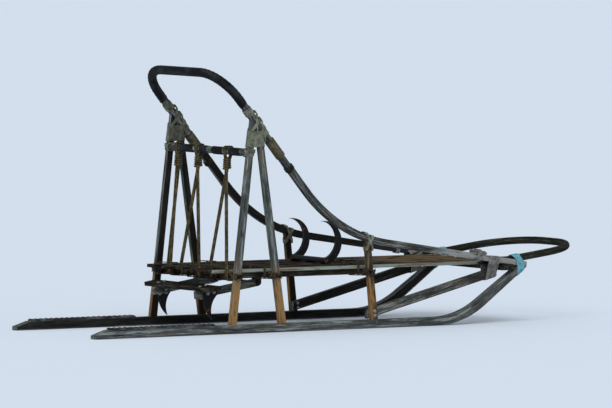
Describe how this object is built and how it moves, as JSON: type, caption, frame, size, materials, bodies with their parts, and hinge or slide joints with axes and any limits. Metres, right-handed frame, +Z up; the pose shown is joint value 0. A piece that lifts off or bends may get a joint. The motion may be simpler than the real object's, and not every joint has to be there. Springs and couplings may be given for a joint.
{
  "type": "dog sled",
  "caption": "Lashed wooden basket sled with a tall handle bow, slatted bed, brush bow, foot pads and claw brake.",
  "frame": {"origin": "on the ground under the middle of the overall length, on the centre line", "axes": "+X forward, the way the sled is pulled; +Y to its left; +Z up"},
  "size_m": [2.348, 0.544, 0.977],
  "materials": {
    "weathered_wood": "weathered, bare",
    "post_wood": "weathered, bare",
    "bed_wood": "dark, frosted edges",
    "taped_wood": "wrapped in black tape",
    "shoe_plastic": "scuffed",
    "pad_rubber": "worn",
    "brake_wood": "weathered, bare",
    "black_steel": "dark, rust spots"
  },
  "bodies": {
    "root": {"runner_left": "weathered_wood", "runner_right": "weathered_wood", "side_rail_left": "weathered_wood", "side_rail_right": "weathered_wood", "front_brace_left": "weathered_wood", "front_brace_right": "weathered_wood", "brush_bow": "weathered_wood", "rear_post_left": "post_wood", "rear_post_right": "post_wood", "brace_post_left": "post_wood", "brace_post_right": "post_wood", "front_stanchion_left": "post_wood", "front_stanchion_right": "post_wood", "bed_slat_1": "bed_wood", "bed_slat_2": "bed_wood", "bed_slat_3": "bed_wood", "bed_slat_4": "bed_wood", "bed_slat_5": "bed_wood", "rear_crosspiece": "bed_wood", "middle_crosspiece": "bed_wood", "front_crosspiece": "bed_wood", "nose_crosspiece": "bed_wood", "bed_beam_left": "bed_wood", "bed_beam_right": "bed_wood", "handle_bow": "taped_wood", "back_crossbar": "taped_wood", "runner_shoe_left": "shoe_plastic", "runner_shoe_right": "shoe_plastic", "foot_pad_left": "pad_rubber", "foot_pad_right": "pad_rubber", "brake_bracket_left": "black_steel", "brake_bracket_right": "black_steel", "brake_pivot_rod": "black_steel", "snow_hook": "black_steel"},
    "brake": {"brake_arm_left": "brake_wood", "brake_arm_right": "brake_wood", "brake_bar": "brake_wood", "brake_claw_left": "black_steel", "brake_claw_right": "black_steel"}
  },
  "joints": [
    {"name": "brake_hinge", "type": "hinge", "parent": "root", "child": "brake", "pos_m": [-0.34508, 0, 0.178], "axis": [0, -1, 0], "range_deg": [0, 12], "stiffness_Nm_per_rad": 12, "springref_deg": -22.92}
  ]
}
